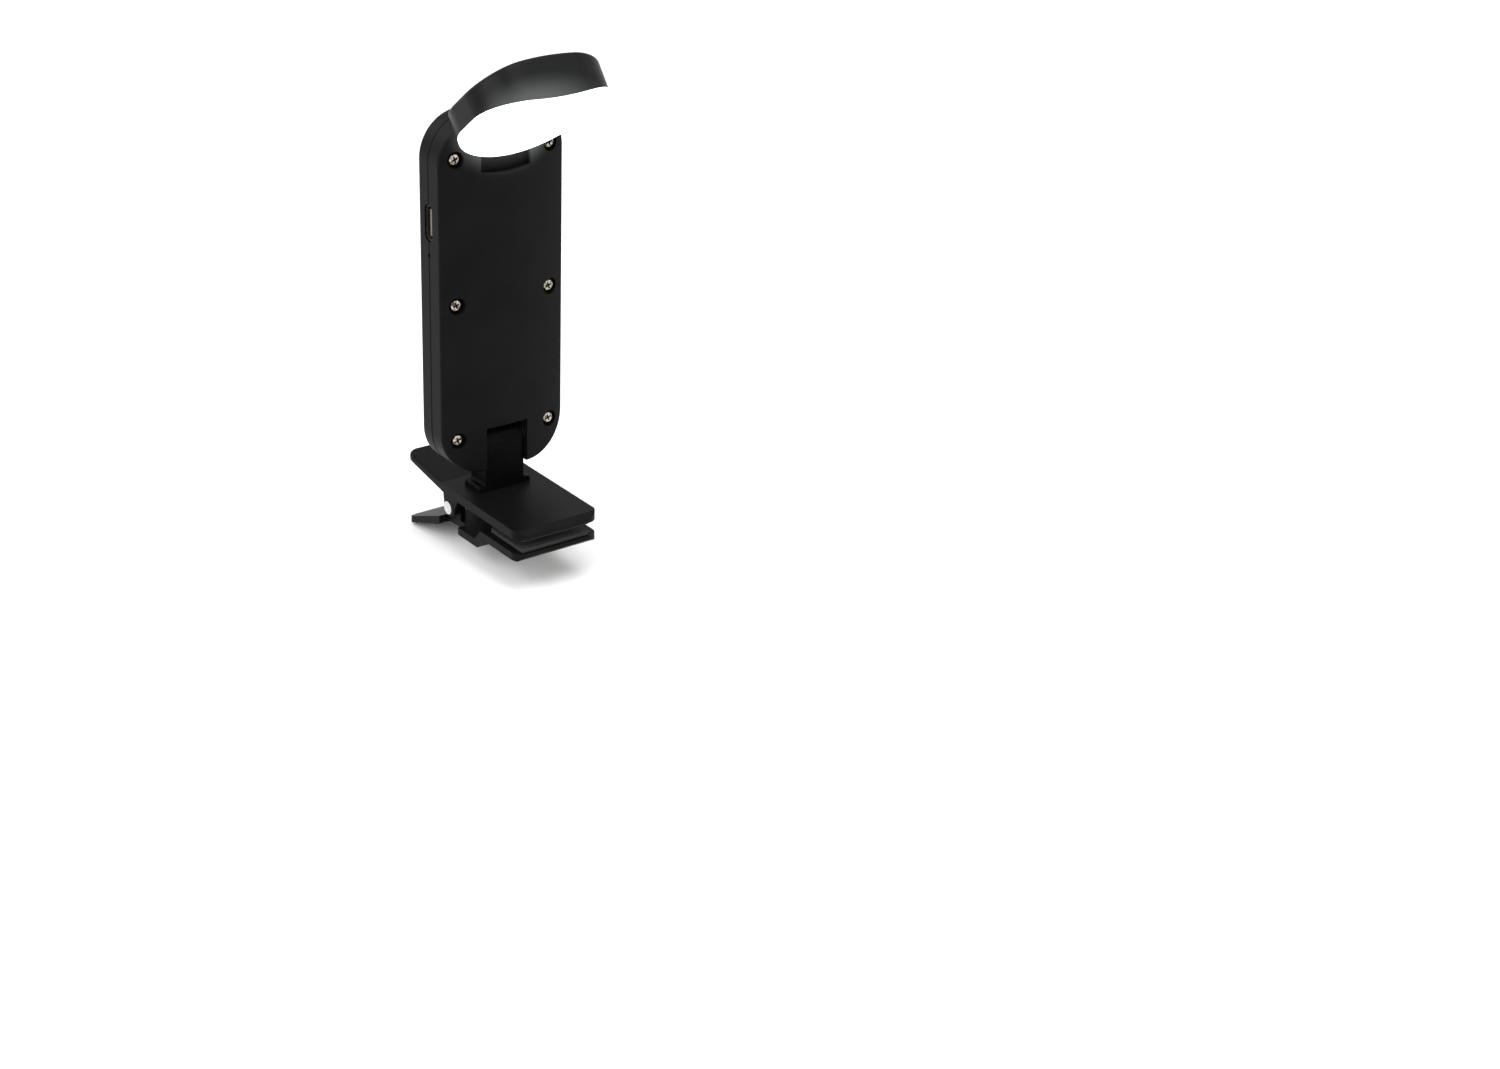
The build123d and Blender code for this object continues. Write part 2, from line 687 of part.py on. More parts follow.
# Arm: the knuckle that the body folds on, down to the upper jaw
arm_foot_wide = 15.0
arm_foot_tall = 1.6
arm_screw_x = 3.3
arm_screw_r = 0.9
with BuildPart() as clip_arm:
    with BuildSketch(side_plane(-arm_wide / 2)):
        with Locations((fold_y, (upper_top + fold_z) / 2)):
            Rectangle(arm_deep, fold_z - upper_top)
        with Locations((fold_y, fold_z)):
            Circle(knuckle_r)
    extrude(amount=arm_wide)
    add(block(-arm_foot_wide / 2, arm_foot_wide / 2, fold_y - arm_deep / 2, fold_y + arm_deep / 2,
              upper_top, upper_top + arm_foot_tall))
    fillet(clip_arm.edges().filter_by(Axis.Y).group_by(Axis.Z)[-1], 0.8)
    add(rod(fold_y, fold_z, fold_pin_r + running, -arm_wide, arm_wide), mode=Mode.SUBTRACT)
    with BuildSketch(Plane.XY.offset(upper_top)):
        with Locations((-arm_screw_x, fold_y), (arm_screw_x, fold_y)):
            Circle(arm_screw_r + snug)
    extrude(amount=5.6, mode=Mode.SUBTRACT)
clip_arm.part.label = "clip_arm"
export_step(clip_arm.part, "parts/clip_arm.step")

# Upper jaw: a flat plate with a raised finger tab, and ears for the pivot pin
tab_rise = tab_long * tan(radians(upper_tab_angle))
ear_r = 2.4
upper_ear_in, upper_ear_out = 9.8, 11.4
lower_ear_in, lower_ear_out = 8.0, 9.5
with BuildPart() as upper_jaw:
    with BuildSketch(side_plane(-jaw_wide / 2)) as plate_side:
        with BuildLine():
            Polyline((jaw_front, upper_under), (jaw_bend, upper_under),
                     (jaw_bend + tab_long, upper_under + tab_rise),
                     (jaw_bend + tab_long, upper_top + tab_rise - 0.4), (jaw_bend, upper_top),
                     (jaw_front + 1.2, upper_top), (jaw_front, upper_top - 1.2),
                     (jaw_front, upper_under))
        make_face()
    extrude(amount=jaw_wide)
    fillet(upper_jaw.edges().filter_by(Axis.Z), 3.0)
    fillet(upper_jaw.edges().filter_by(Axis.X).group_by(Axis.Y)[-1], 0.6)
    for low, high in ((-upper_ear_out, -upper_ear_in), (upper_ear_in, upper_ear_out)):
        with BuildSketch(side_plane(low)):
            with BuildLine():
                Polyline((pivot_y - 4.2, upper_under + 0.5), (pivot_y - ear_r, pivot_z),
                         (pivot_y + ear_r, pivot_z), (pivot_y + 3.0, upper_under + 0.5),
                         (pivot_y - 4.2, upper_under + 0.5))
            make_face()
            with Locations((pivot_y, pivot_z)):
                Circle(ear_r)
        extrude(amount=high - low)
    add(block(-pad_wide / 2, pad_wide / 2, -pad_long / 2, pad_long / 2, upper_under - 1, pad_thick),
        mode=Mode.SUBTRACT)
    add(rod(pivot_y, pivot_z, pivot_pin_r + snug, -jaw_wide, jaw_wide), mode=Mode.SUBTRACT)
    with Locations(Plane(origin=(0, fold_y, upper_under), x_dir=(1, 0, 0), z_dir=(0, 0, -1))):
        with Locations((-arm_screw_x, 0), (arm_screw_x, 0)):
            CounterSinkHole(radius=arm_screw_r + snug, counter_sink_radius=1.75, depth=jaw_thick)
upper_jaw.part.label = "upper_jaw"
export_step(upper_jaw.part, "parts/upper_jaw.step")

# Two flat-head screws, up through the jaw into the arm
sink_tall = 1.75 - arm_screw_r
with BuildPart() as arm_screws:
    for x in (-arm_screw_x, arm_screw_x):
        with BuildSketch(Plane(origin=(x, fold_y, 0), x_dir=(1, 0, 0), z_dir=(0, -1, 0))):
            Polygon((0, upper_under), (1.7, upper_under), (arm_screw_r, upper_under + sink_tall),
                    (arm_screw_r, upper_top + 5.0), (0, upper_top + 5.0), align=None)
        revolve(axis=Axis((x, fold_y, 0), (0, 0, 1)))
    with BuildSketch(Plane.XY.offset(upper_under)):
        with Locations((-arm_screw_x, fold_y), (arm_screw_x, fold_y)):
            Rectangle(1.8, 0.4)
            Rectangle(0.4, 1.8)
    extrude(amount=0.5, mode=Mode.SUBTRACT)
arm_screws.part.label = "arm_screws"
export_step(arm_screws.part, "parts/arm_screws.step")


def ribbed_pad(z_low, z_high, rib_side):
    """Soft pad with shallow cross grooves in its gripping face."""
    with BuildPart() as pad:
        add(block(-pad_wide / 2 + 0.1, pad_wide / 2 - 0.1, -pad_long / 2 + 0.1, pad_long / 2 - 0.1,
                  z_low, z_high))
        fillet(pad.edges().filter_by(Axis.Z), 0.8)
        groove_z = z_low if rib_side < 0 else z_high
        with BuildSketch(Plane.YZ.offset(-pad_wide / 2)):
            with Locations((0, groove_z)):
                with GridLocations(2.5, 1, 6, 1):
                    RegularPolygon(0.35, 4)
        extrude(amount=pad_wide, mode=Mode.SUBTRACT)
    return pad.part


with BuildPart() as upper_pad:
    add(ribbed_pad(0, pad_thick, -1))
upper_pad.part.label = "upper_pad"
export_step(upper_pad.part, "parts/upper_pad.step")

# Lower jaw: cranked down behind its pad to leave a throat for a thick stack of pages
lower_top = -pad_gap - pad_thick + pad_sunk
lower_low = lower_top - lower_thick
tab_drop = tab_long * tan(radians(lower_tab_angle))
with BuildPart() as lower_jaw:
    with BuildSketch(side_plane(-jaw_wide / 2)) as lower_side:
        with BuildLine():
            Polyline((jaw_front, lower_top), (8.6, lower_top), (11.4, throat_floor),
                     (jaw_bend, throat_floor), (jaw_bend + tab_long, throat_floor - tab_drop),
                     (jaw_bend + tab_long, throat_floor - tab_drop - lower_thick + 0.3),
                     (jaw_bend - 0.6, throat_floor - lower_thick), (10.2, throat_floor - lower_thick),
                     (7.4, lower_low), (jaw_front + 1.2, lower_low), (jaw_front, lower_low + 1.0),
                     (jaw_front, lower_top))
        make_face()
    extrude(amount=jaw_wide)
    fillet(lower_jaw.edges().filter_by(Axis.Z), 3.0)
    for side in (-1, 1):
        add(block(min(side * lower_ear_out, side * 20), max(side * lower_ear_out, side * 20),
                  pivot_y - 5.0, pivot_y + 4.0, throat_floor - 4, 2), mode=Mode.SUBTRACT)
    for low, high in ((-lower_ear_out, -lower_ear_in), (lower_ear_in, lower_ear_out)):
        with BuildSketch(side_plane(low)):
            with Locations((pivot_y, pivot_z)):
                Circle(2.2)
            with Locations((pivot_y, (pivot_z + throat_floor - 0.5) / 2)):
                Rectangle(4.4, pivot_z - throat_floor + 0.5)
        extrude(amount=high - low)
    add(block(-pad_wide / 2, pad_wide / 2, -pad_long / 2, pad_long / 2, lower_top - pad_sunk, 1),
        mode=Mode.SUBTRACT)
    add(rod(pivot_y, pivot_z, pivot_pin_r + running, -jaw_wide, jaw_wide), mode=Mode.SUBTRACT)
lower_jaw.part.label = "lower_jaw"
export_step(lower_jaw.part, "parts/lower_jaw.step")

with BuildPart() as lower_pad:
    add(ribbed_pad(-pad_gap - pad_thick, -pad_gap, 1))
lower_pad.part.label = "lower_pad"
export_step(lower_pad.part, "parts/lower_pad.step")

# Pivot pin with a flat head at each end
pin_head_r = 1.7
pin_head_thick = 0.55
with BuildPart() as jaw_pin:
    add(rod(pivot_y, pivot_z, pivot_pin_r, -upper_ear_out, upper_ear_out))
    add(rod(pivot_y, pivot_z, pin_head_r, -upper_ear_out - pin_head_thick, -upper_ear_out))
    add(rod(pivot_y, pivot_z, pin_head_r, upper_ear_out, upper_ear_out + pin_head_thick))
jaw_pin.part.label = "jaw_pin"
export_step(jaw_pin.part, "parts/jaw_pin.step")

# Torsion spring: a coil round the pin whose legs push the two finger tabs apart
start_angle = radians(4.0)
end_angle = 2 * pi * coil_turns + pi - radians(4.0)
coil_start = -coil_pitch * (end_angle - start_angle) / (4 * pi)


def coil_point(angle):
    x = coil_start + coil_pitch * (angle - start_angle) / (2 * pi)
    return Vector(x, pivot_y - coil_r * sin(angle), pivot_z + coil_r * cos(angle))


def coil_heading(angle):
    return Vector(coil_pitch / (2 * pi), -coil_r * cos(angle), -coil_r * sin(angle)).normalized()


def arc_joint(a, b):
    """Where two arcs that leave both coil points along the wire meet each other."""
    start, finish = coil_point(a), coil_point(b)
    leave, arrive = coil_heading(a), coil_heading(b)
    chord = finish - start
    spread = 2 * (1 - leave.dot(arrive))
    lean = chord.dot(leave + arrive)
    reach = (-lean + sqrt(lean ** 2 + spread * chord.dot(chord))) / spread
    return (start + finish + (leave - arrive) * reach) / 2


quarter_count = round((end_angle - start_angle) / (pi / 2))
quarter = (end_angle - start_angle) / quarter_count
with BuildPart() as jaw_spring:
    with BuildLine() as spring_line:
        first = coil_point(start_angle)
        Line(first - coil_heading(start_angle) * leg_long, first)
        for step in range(quarter_count):
            a = start_angle + step * quarter
            b = a + quarter
            middle = arc_joint(a, b)
            near = TangentArc(coil_point(a), middle, tangent=coil_heading(a))
            TangentArc(middle, coil_point(b), tangent=near % 1)
        last = coil_point(end_angle)
        Line(last, last + coil_heading(end_angle) * leg_long)
    with BuildSketch(Plane(origin=spring_line.line @ 0, z_dir=spring_line.line % 0)):
        Circle(wire / 2)
    sweep(path=spring_line.line)
jaw_spring.part.label = "jaw_spring"
export_step(jaw_spring.part, "parts/jaw_spring.step")

turn_points = [coil_point(start_angle + n * pi / 24) for n in range(int((end_angle - start_angle) * 24 / pi))]
least = min((p - q).length for i, p in enumerate(turn_points) for q in turn_points[i + 24:])
spring_long = sum(piece.length for piece in spring_line.edges())
print("spring: least gap to itself", round(least - wire, 2), "mm; volume over section times length",
      round(jaw_spring.part.volume / (pi * (wire / 2) ** 2 * spring_long), 3))
print("solids with no volume:", [p.part.label for p in (front_cover, rear_cover, head_shell, head_frame)
                                 if p.part.volume <= 0])
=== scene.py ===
import math
import bmesh
import bpy
from mathutils import Matrix, Vector


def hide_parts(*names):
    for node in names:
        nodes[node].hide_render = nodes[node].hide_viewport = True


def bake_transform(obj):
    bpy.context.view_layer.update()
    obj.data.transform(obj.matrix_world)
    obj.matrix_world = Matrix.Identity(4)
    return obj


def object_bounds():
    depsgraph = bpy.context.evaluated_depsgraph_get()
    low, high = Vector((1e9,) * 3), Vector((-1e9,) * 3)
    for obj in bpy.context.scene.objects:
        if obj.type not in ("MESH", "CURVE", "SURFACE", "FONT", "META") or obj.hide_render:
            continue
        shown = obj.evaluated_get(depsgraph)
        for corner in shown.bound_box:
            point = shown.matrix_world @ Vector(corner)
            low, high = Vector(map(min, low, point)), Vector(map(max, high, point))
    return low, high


mm = 0.001
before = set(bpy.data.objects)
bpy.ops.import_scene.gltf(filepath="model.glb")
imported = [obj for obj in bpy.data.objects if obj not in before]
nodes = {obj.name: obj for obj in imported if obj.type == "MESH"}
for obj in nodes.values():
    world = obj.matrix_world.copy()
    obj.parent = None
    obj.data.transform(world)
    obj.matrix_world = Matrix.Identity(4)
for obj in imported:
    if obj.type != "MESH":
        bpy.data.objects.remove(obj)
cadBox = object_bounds()
print("frame loaded,", len(nodes), "nodes")

scene = bpy.context.scene
scene.view_settings.view_transform = "Standard"
white = (1, 1, 1)


def addObject(name, data):
    item = bpy.data.objects.new(name, data)
    scene.collection.objects.link(item)
    return item


def meshFrom(bm, name):
    mesh = bpy.data.meshes.new(name)
    bm.to_mesh(mesh)
    bm.free()
    return mesh


# shader building blocks

cloudNoise = {"detail": 3.0, "roughness": 0.5}
streakNoise = {"detail": 3.0, "roughness": 0.6}
grainNoise = {"detail": 2.0, "roughness": 0.6}
plainNoise = {"detail": 2.0, "roughness": 0.5}
evenStretch = (1, 1, 1)
metalBumpDeep = 0.02
plainBumpDeep = 0.03


def newMaterial(name):
    material = bpy.data.materials.new(name)
    material.use_nodes = True
    tree = material.node_tree
    return material, tree, tree.nodes["Principled BSDF"]


def setColour(shader, socket, colour):
    shader.inputs[socket].default_value = (*colour, 1)


def objectNoise(tree, size, noiseLook, stretch=evenStretch):
    # noise on Object coordinates, size is the width of one grain in mm
    where = tree.nodes.new("ShaderNodeTexCoord")
    place = tree.nodes.new("ShaderNodeMapping")
    place.inputs["Scale"].default_value = stretch
    tree.links.new(where.outputs["Object"], place.inputs["Vector"])
    noise = tree.nodes.new("ShaderNodeTexNoise")
    noise.inputs["Scale"].default_value = 1 / (size * mm)
    noise.inputs["Detail"].default_value = noiseLook["detail"]
    noise.inputs["Roughness"].default_value = noiseLook["roughness"]
    tree.links.new(place.outputs["Vector"], noise.inputs["Vector"])
    return noise.outputs["Fac"]


def blendColours(tree, factor, dark, light, low=0.3, high=0.7):
    ramp = tree.nodes.new("ShaderNodeValToRGB")
    ramp.color_ramp.elements[0].position = low
    ramp.color_ramp.elements[1].position = high
    ramp.color_ramp.elements[0].color = (*dark, 1)
    ramp.color_ramp.elements[1].color = (*light, 1)
    tree.links.new(factor, ramp.inputs["Fac"])
    return ramp.outputs["Color"]


def rangeNode(tree, factor, fromLow, fromHigh, toLow=0.0, toHigh=1.0):
    # clamped at both ends; fromLow may be the larger one, which turns the range round
    spread = tree.nodes.new("ShaderNodeMapRange")
    spread.inputs["From Min"].default_value = fromLow
    spread.inputs["From Max"].default_value = fromHigh
    spread.inputs["To Min"].default_value = toLow
    spread.inputs["To Max"].default_value = toHigh
    tree.links.new(factor, spread.inputs["Value"])
    return spread


def spreadValue(tree, factor, low, high):
    return rangeNode(tree, factor, 0.0, 1.0, low, high).outputs["Result"]


def mathNode(tree, operation, first, second):
    node = tree.nodes.new("ShaderNodeMath")
    node.operation = operation
    tree.links.new(first, node.inputs[0])
    tree.links.new(second, node.inputs[1])
    return node.outputs["Value"]


def addBump(tree, shader, height, strength, distance):
    bump = tree.nodes.new("ShaderNodeBump")
    bump.inputs["Strength"].default_value = strength
    bump.inputs["Distance"].default_value = distance * mm
    tree.links.new(height, bump.inputs["Height"])
    tree.links.new(bump.outputs["Normal"], shader.inputs["Normal"])


def gradientFrom(tree, place):
    # 1 in the middle of a turned ellipsoid, 0 at its skin; sizes are in mm
    where = tree.nodes.new("ShaderNodeTexCoord")
    mapping = tree.nodes.new("ShaderNodeMapping")
    mapping.vector_type = "TEXTURE"
    mapping.inputs["Location"].default_value = [value * mm for value in place["middle"]]
    mapping.inputs["Rotation"].default_value = (math.radians(place["turn"]), 0, 0)
    mapping.inputs["Scale"].default_value = [value * mm for value in place["reach"]]
    tree.links.new(where.outputs["Object"], mapping.inputs["Vector"])
    ball = tree.nodes.new("ShaderNodeTexGradient")
    ball.gradient_type = "SPHERICAL"
    tree.links.new(mapping.outputs["Vector"], ball.inputs["Vector"])
    return ball.outputs["Fac"]


def seenAsBackground(tree):
    # 1 for the camera and in gloss and glass, 0 for the light that falls on the object
    rays = tree.nodes.new("ShaderNodeLightPath").outputs
    reflected = mathNode(tree, "MAXIMUM", rays["Is Glossy Ray"], rays["Is Transmission Ray"])
    return mathNode(tree, "MAXIMUM", rays["Is Camera Ray"], reflected)


# finishes

def spreadRoughness(tree, shader, factor, look):
    rough = spreadValue(tree, factor, look["roughLow"], look["roughHigh"])
    tree.links.new(rough, shader.inputs["Roughness"])


def mouldedPlastic(name, look):
    # black moulded plastic with a fine spark-eroded grain
    material, tree, shader = newMaterial(name)
    cloud = objectNoise(tree, look["cloud"], cloudNoise)
    colour = blendColours(tree, cloud, look["dark"], look["light"])
    tree.links.new(colour, shader.inputs["Base Color"])
    spreadRoughness(tree, shader, cloud, look)
    shader.inputs["Specular IOR Level"].default_value = look["specular"]
    grain = objectNoise(tree, look["grain"], grainNoise)
    addBump(tree, shader, grain, look["grainStrength"], look["grainDeep"])
    return material


def makeMetal(tree, shader, streak, colour, look):
    tree.links.new(colour, shader.inputs["Base Color"])
    spreadRoughness(tree, shader, streak, look)
    shader.inputs["Metallic"].default_value = 1.0
    addBump(tree, shader, streak, look["bump"], metalBumpDeep)


def metalFinish(name, look):
    material, tree, shader = newMaterial(name)
    streak = objectNoise(tree, look["streak"], streakNoise, look.get("stretch", evenStretch))
    colour = blendColours(tree, streak, look["dark"], look["light"])
    makeMetal(tree, shader, streak, colour, look)
    return material


def screwPlatingAndSlotShade(name, look):
    # bright nickel heads with painted shade: they go dark down in their crossed slots and sinks
    material, tree, shader = newMaterial(name)
    streak = objectNoise(tree, look["streak"], streakNoise)
    plating = blendColours(tree, streak, look["dark"], look["light"], look["low"], look["high"])
    where = tree.nodes.new("ShaderNodeTexCoord")
    split = tree.nodes.new("ShaderNodeSeparateXYZ")
    tree.links.new(where.outputs["Object"], split.inputs["Vector"])
    # painted shade: the colour darkens from the head's top face down to the slot floor, along Y
    depth = rangeNode(tree, split.outputs["Y"], look["top"] * mm, look["floor"] * mm)
    paintedShadeMix = tree.nodes.new("ShaderNodeMix")
    paintedShadeMix.data_type = "RGBA"
    paintedShadeMix.inputs["B"].default_value = (*look["paintedShade"], 1)
    tree.links.new(depth.outputs["Result"], paintedShadeMix.inputs["Factor"])
    tree.links.new(plating, paintedShadeMix.inputs["A"])
    makeMetal(tree, shader, streak, paintedShadeMix.outputs["Result"], look)
    return material


def plainFinish(name, look):
    material, tree, shader = newMaterial(name)
    grain = objectNoise(tree, look.get("grain", 0.5), plainNoise)
    colour = blendColours(tree, grain, look["dark"], look["light"])
    tree.links.new(colour, shader.inputs["Base Color"])
    shader.inputs["Roughness"].default_value = look["rough"]
    shader.inputs["Metallic"].default_value = look.get("metallic", 0.0)
    addBump(tree, shader, grain, look.get("bump", 0.05), plainBumpDeep)
    return material


def smoothFinish(name, look):
    material, tree, shader = newMaterial(name)
    setColour(shader, "Base Color", look["colour"])
    shader.inputs["Roughness"].default_value = look["rough"]
    shader.inputs["Specular IOR Level"].default_value = look["specular"]
    return material, tree, shader


def litLens(name, look):
    # milky plate lit from behind: it glows by itself, a little warmer along its back edge
    material, tree, shader = newMaterial(name)
    setColour(shader, "Base Color", look["colour"])
    shader.inputs["Roughness"].default_value = look["rough"]
    wide = look["reach"][0]
    depth = rangeNode(tree, gradientFrom(tree, look), look["rimStart"] / wide,
                      look["rimEnd"] / wide).outputs["Result"]
    glow = blendColours(tree, depth, look["glow"], look["rim"], look["low"], look["high"])
    tree.links.new(glow, shader.inputs["Emission Color"])
    strength = spreadValue(tree, depth, look["strength"], look["rimStrength"])
    tree.links.new(strength, shader.inputs["Emission Strength"])
    return material


def addGlow(material, look):
    # painted light: emission on the plastic beside the lens, for the light that bleeds from the
    # lens over it
    tree = material.node_tree
    shader = tree.nodes["Principled BSDF"]
    setColour(shader, "Emission Color", look["colour"])
    ease = rangeNode(tree, gradientFrom(tree, look), 0.0, 1.0, 0.0, look["strength"])
    ease.interpolation_type = "SMOOTHERSTEP"
    tree.links.new(ease.outputs["Result"], shader.inputs["Emission Strength"])


bodyLook = {
    "dark": (0.0028, 0.0028, 0.0031), "light": (0.0044, 0.0044, 0.0048), "cloud": 9.0,
    "roughLow": 0.38, "roughHigh": 0.48, "specular": 0.05,
    "grain": 0.16, "grainStrength": 0.22, "grainDeep": 0.03,
}
headLook = {
    "dark": (0.004, 0.004, 0.0044), "light": (0.0058, 0.0058, 0.0063), "cloud": 8.0,
    "roughLow": 0.32, "roughHigh": 0.42, "specular": 0.08,
    "grain": 0.14, "grainStrength": 0.15, "grainDeep": 0.02,
}
# painted shade: the arm's black is darker than the body's, for the shadow the body casts over
# it
armPaintedShadeLook = {
    "dark": (0.0016, 0.0016, 0.0018), "light": (0.0028, 0.0028, 0.003), "cloud": 6.0,
    "roughLow": 0.34, "roughHigh": 0.42, "specular": 0.03,
    "grain": 0.14, "grainStrength": 0.15, "grainDeep": 0.02,
}
buttonLook = {
    "dark": (0.006, 0.006, 0.0064), "light": (0.008, 0.008, 0.0085), "cloud": 5.0,
    "roughLow": 0.28, "roughHigh": 0.34, "specular": 0.2,
    "grain": 0.12, "grainStrength": 0.08, "grainDeep": 0.02,
}
# the shade colour with its top and floor depths is painted shade in the screw slots and sinks
nickelAndSlotShadeLook = {
    "dark": (0.05, 0.045, 0.038), "light": (0.52, 0.48, 0.4), "low": 0.4, "high": 0.62,
    "streak": 0.6, "roughLow": 0.1, "roughHigh": 0.3, "bump": 0.6,
    "top": 16.55, "floor": 16.95, "paintedShade": (0.015, 0.014, 0.012),
}
steelLook = {
    "dark": (0.5, 0.5, 0.51), "light": (0.68, 0.68, 0.69), "streak": 0.5,
    "roughLow": 0.22, "roughHigh": 0.36, "bump": 0.08, "stretch": (0.15, 1, 1),
}
springLook = {
    "dark": (0.42, 0.42, 0.43), "light": (0.6, 0.6, 0.61), "streak": 0.3,
    "roughLow": 0.25, "roughHigh": 0.38, "bump": 0.08,
}
foilLook = {
    "dark": (0.6, 0.61, 0.63), "light": (0.74, 0.75, 0.77), "streak": 2.5,
    "roughLow": 0.3, "roughHigh": 0.42, "bump": 0.2,
}
padLook = {
    "dark": (0.018, 0.018, 0.019), "light": (0.026, 0.026, 0.027),
    "rough": 0.78, "grain": 0.3, "bump": 0.2,
}
# painted shade: the tin shell is much darker than tin, for the shade inside the socket opening
socketPaintedShadeLook = {
    "dark": (0.05, 0.046, 0.04), "light": (0.09, 0.082, 0.07),
    "rough": 0.4, "metallic": 0.8, "grain": 0.4,
}
pipeLook = {"colour": (0.0008, 0.0008, 0.001), "rough": 0.5, "specular": 0.02}
plainLooks = {
    "whitePlastic": {"dark": (0.8, 0.8, 0.8), "light": (0.86, 0.86, 0.86), "rough": 0.4},
    "whiteBoard": {"dark": (0.76, 0.76, 0.74), "light": (0.82, 0.82, 0.8), "rough": 0.45},
    "phosphor": {"dark": (0.82, 0.66, 0.16), "light": (0.88, 0.72, 0.2), "rough": 0.35},
    "foamTape": {"dark": (0.6, 0.6, 0.58), "light": (0.74, 0.74, 0.72), "rough": 0.9,
                 "grain": 0.4, "bump": 0.5},
    "redLead": {"dark": (0.4, 0.015, 0.015), "light": (0.46, 0.02, 0.02), "rough": 0.4},
    "blackLead": {"dark": (0.012, 0.012, 0.012), "light": (0.018, 0.018, 0.018), "rough": 0.4},
    "greenBoard": {"dark": (0.01, 0.11, 0.035), "light": (0.014, 0.14, 0.045), "rough": 0.35,
                   "grain": 2.0},
    "chipBlack": {"dark": (0.014, 0.014, 0.014), "light": (0.02, 0.02, 0.02), "rough": 0.5},
    "tongueBeige": {"dark": (0.09, 0.075, 0.055), "light": (0.12, 0.1, 0.075), "rough": 0.45,
                    "grain": 0.3},
    "switchBlack": {"dark": (0.02, 0.02, 0.02), "light": (0.03, 0.03, 0.03), "rough": 0.45},
    "ledWhite": {"dark": (0.8, 0.8, 0.66), "light": (0.86, 0.86, 0.72), "rough": 0.3},
}

headTilt = 38.9
lensLook = {
    "colour": (0.86, 0.87, 0.88), "rough": 0.25,
    "glow": (0.97, 0.985, 1.0), "strength": 2.4, "low": 0.2, "high": 0.8,
    "rim": (1.0, 0.76, 0.5), "rimStrength": 0.9, "rimStart": 0.95, "rimEnd": 1.15,
    "middle": (0, 65.54, 153.52), "turn": -headTilt, "reach": (81.1, 4000, 81.1),
}
# painted light: glow painted on the head walls and on the front cover below the lens
wallGlow = {
    "colour": (0.84, 0.92, 0.87), "strength": 0.14,
    "middle": (-6.0, -8.2, 109.2), "turn": -headTilt, "reach": (21, 11, 9),
}
coverGlow = {
    "colour": (0.96, 1.0, 0.98), "strength": 0.5,
    "middle": (1.0, 12.6, 97.5), "turn": 0, "reach": (25, 6.2, 14),
}

finishes = {
    "bodyBlack": mouldedPlastic("bodyBlack", bodyLook),
    "coverBlack": mouldedPlastic("coverBlack", bodyLook),
    "headBlack": mouldedPlastic("headBlack", headLook),
    "armBlackPaintedShade": mouldedPlastic("armBlackPaintedShade", armPaintedShadeLook),
    "buttonBlack": mouldedPlastic("buttonBlack", buttonLook),
    "screwNickelPaintedShade": screwPlatingAndSlotShade("screwNickelPaintedShade", nickelAndSlotShadeLook),
    "turnedSteel": metalFinish("turnedSteel", steelLook),
    "springWire": metalFinish("springWire", springLook),
    "cellFoil": metalFinish("cellFoil", foilLook),
    "padRubber": plainFinish("padRubber", padLook),
    "socketTinPaintedShade": plainFinish("socketTinPaintedShade", socketPaintedShadeLook),
    "litLens": litLens("litLens", lensLook),
    "smokedPipe": smoothFinish("smokedPipe", pipeLook)[0],
}
addGlow(finishes["headBlack"], wallGlow)
addGlow(finishes["coverBlack"], coverGlow)
for key, look in plainLooks.items():
    finishes[key] = plainFinish(key, look)

wears = {
    "bodyBlack": ["rear_cover", "upper_jaw", "lower_jaw"],
    "coverBlack": ["front_cover"],
    "headBlack": ["head_shell", "head_frame"],
    "armBlackPaintedShade": ["clip_arm"],
    "buttonBlack": ["power_button"],
    "screwNickelPaintedShade": ["cover_screws"],
    "turnedSteel": ["arm_screws", "head_hinge_pin", "head_hinge_washers", "arm_hinge_pin",
                    "arm_hinge_washers", "jaw_pin"],
    "springWire": ["jaw_spring"],
    "cellFoil": ["battery_cell"],
    "padRubber": ["upper_pad", "lower_pad"],
    "socketTinPaintedShade": ["usb_socket"],
    "litLens": ["diffuser"],
    "smokedPipe": ["charge_light_pipe"],
    "whitePlastic": ["light_guide_frame"],
    "whiteBoard": ["led_board"],
    "phosphor": ["led_chips"],
    "foamTape": ["battery_pad"],
    "redLead": ["battery_leads"],
    "blackLead": ["body_leads", "head_leads"],
    "greenBoard": ["main_board"],
    "chipBlack": ["board_chips"],
    "tongueBeige": ["usb_tongue"],
    "switchBlack": ["tact_switch", "switch_plunger"],
    "ledWhite": ["charge_led"],
}
for finish, wearers in wears.items():
    for node in wearers:
        mesh = nodes[node].data
        mesh.materials.clear()
        mesh.materials.append(finishes[finish])
print("finishes on")


# clip spring: it twists as the jaw opens, so it's rebuilt as one soft tube

springSizes = {
    "pivot": (24.0, -2.65), "coilR": 2.8, "wireR": 0.4, "pitch": 1.35, "turns": 4.478,
    "legLong": 11.0, "startTurn": 4.0, "stepsPerTurn": 24, "sides": 12,
}


def addLeg(bm, edges, angle, reach):
    # straight end of the wire, along the coil's tangent at that angle
    leg = bmesh.ops.extrude_edge_only(bm, edges=edges)
    ends = [part for part in leg["geom"] if isinstance(part, bmesh.types.BMVert)]
    along = Matrix.Rotation(angle, 3, "X") @ Vector((0, reach, 0))
    bmesh.ops.translate(bm, vec=along, verts=ends)


